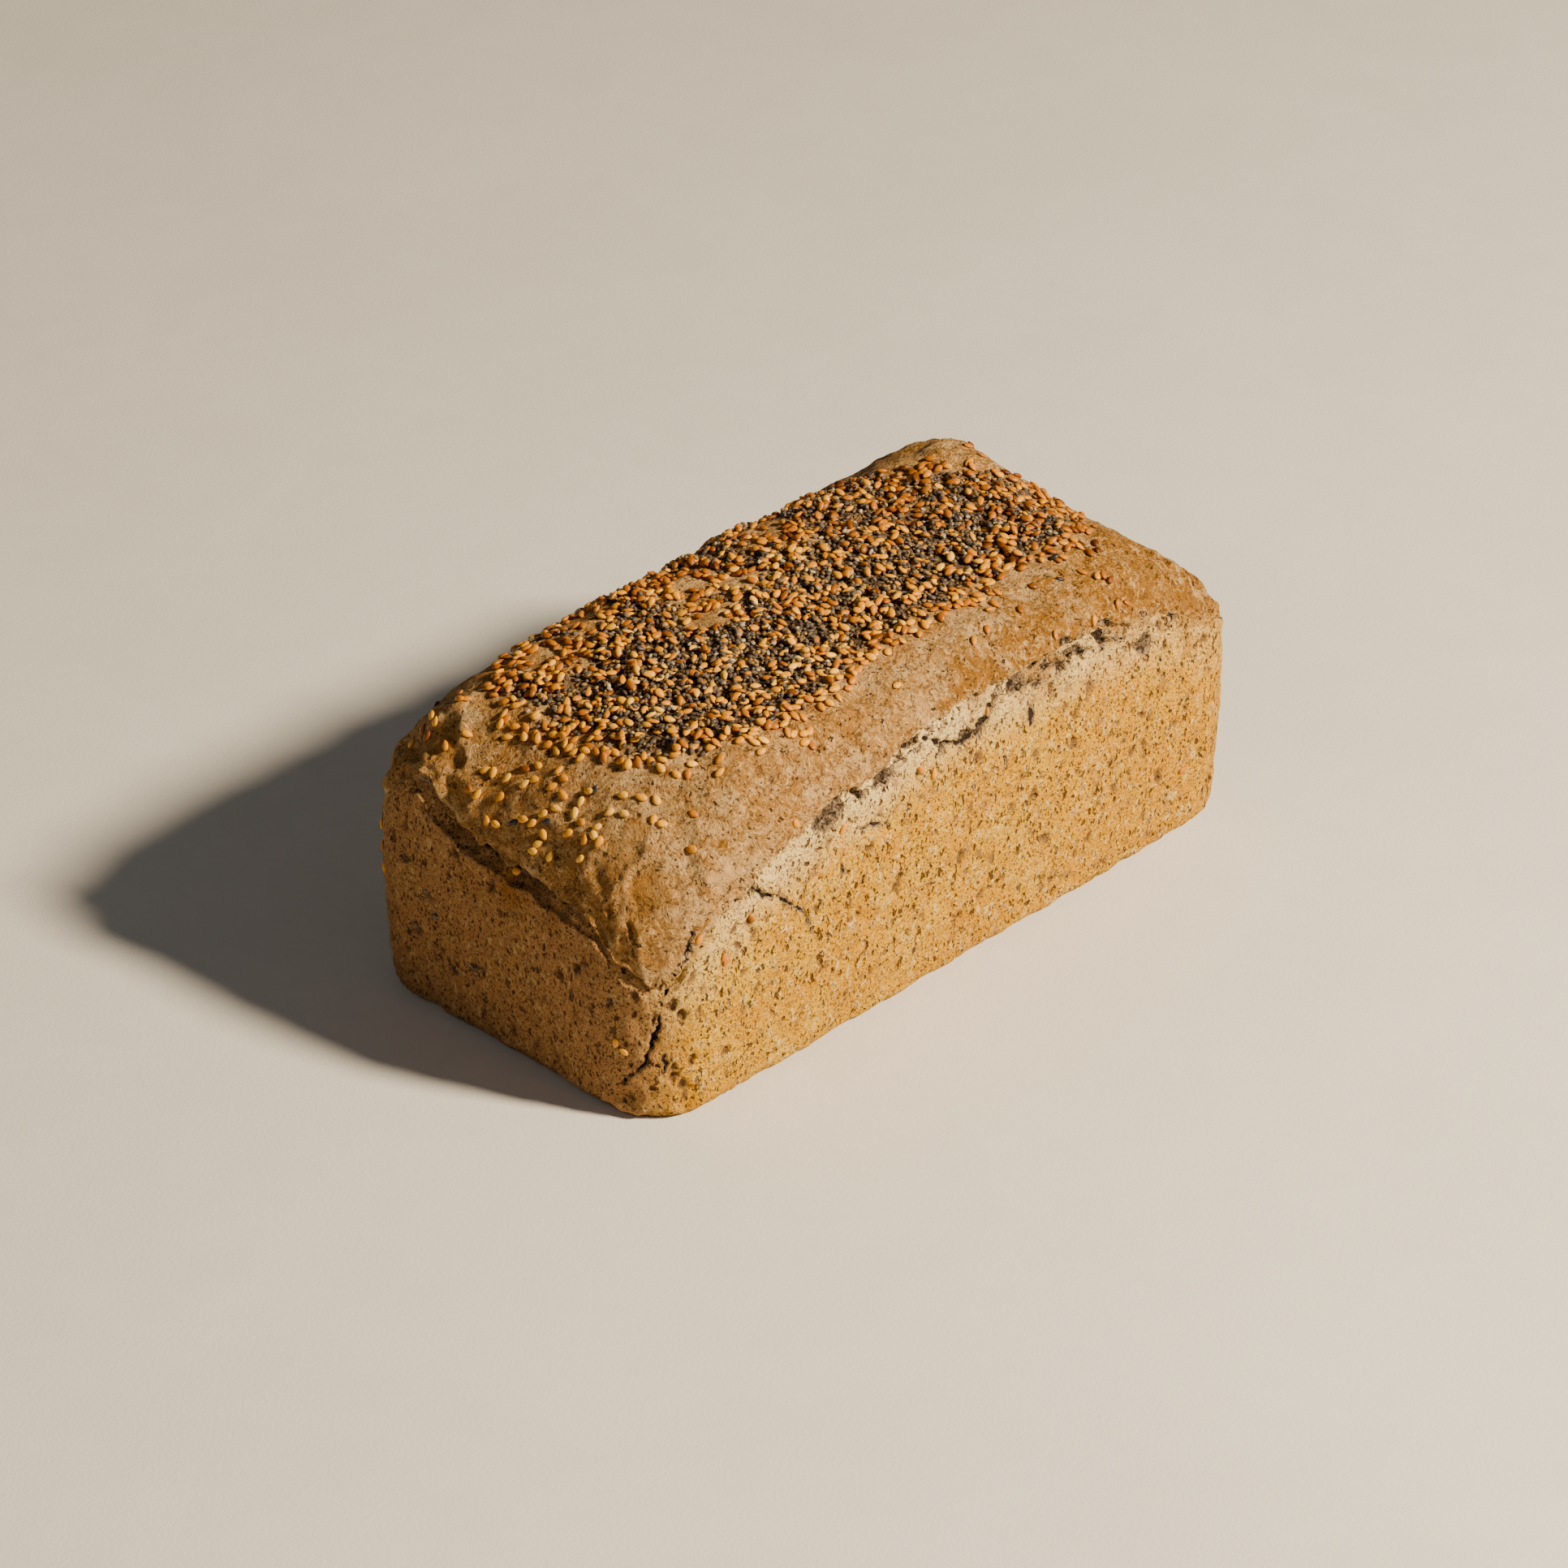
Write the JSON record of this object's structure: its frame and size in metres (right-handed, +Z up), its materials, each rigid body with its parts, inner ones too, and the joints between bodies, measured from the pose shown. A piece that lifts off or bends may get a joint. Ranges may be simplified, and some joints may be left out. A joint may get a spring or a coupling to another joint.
{
  "type": "gluten-free bread loaf",
  "caption": "Uncut gluten-free tin loaf with straight sides, a risen crust torn along its edge and a top scattered with sesame and small dark seeds.",
  "frame": {"origin": "middle of the loaf's flat base, on the surface that it stands on", "axes": "+X along the loaf, away from the short end with the open tear; +Z up; the long side with the torn crust faces -Y"},
  "size_m": [0.2318, 0.1166, 0.0981],
  "materials": {
    "loaf_crust": "dry baked crust, matte and uneven"
  },
  "bodies": {
    "root": {"loaf": "loaf_crust"}
  },
  "joints": []
}
